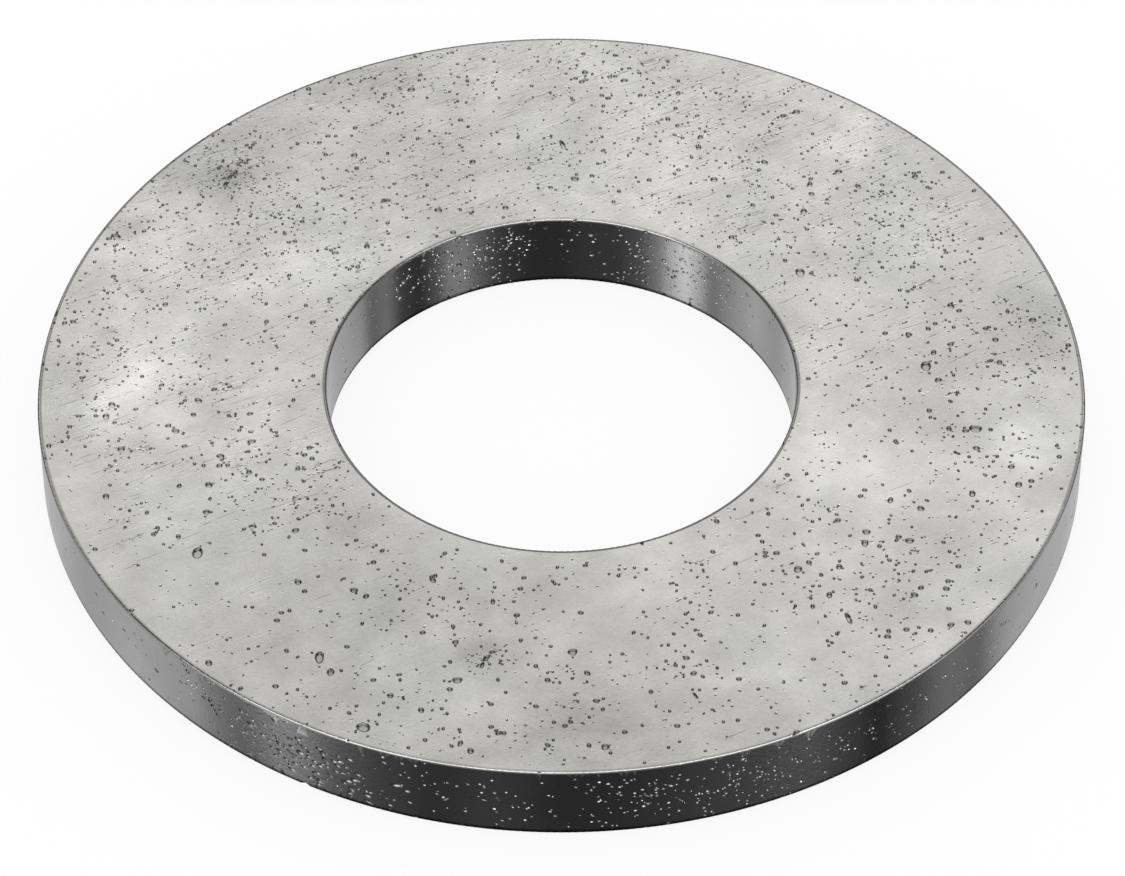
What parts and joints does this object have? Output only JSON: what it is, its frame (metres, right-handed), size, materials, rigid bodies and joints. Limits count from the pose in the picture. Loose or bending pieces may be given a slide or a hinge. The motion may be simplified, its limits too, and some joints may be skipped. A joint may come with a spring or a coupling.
{
  "type": "flat washer",
  "caption": "Plain flat washer: a thin round steel disc with a round clearance hole through its centre and lightly broken edges.",
  "frame": {"origin": "on the washer's axis, at the centre of the hole, in the plane of the lower bearing face", "axes": "+Z along the hole's axis, from the lower bearing face to the upper one; the part is round, so +X and +Y are any two square directions in its plane"},
  "size_m": [0.0158, 0.0158, 0.0013],
  "materials": {
    "steel": "plain low-carbon steel, tumbled to a dull shine, finely pitted all over with a few larger dents and light scratches"
  },
  "bodies": {
    "root": {"washer_disc": "steel"}
  },
  "joints": []
}
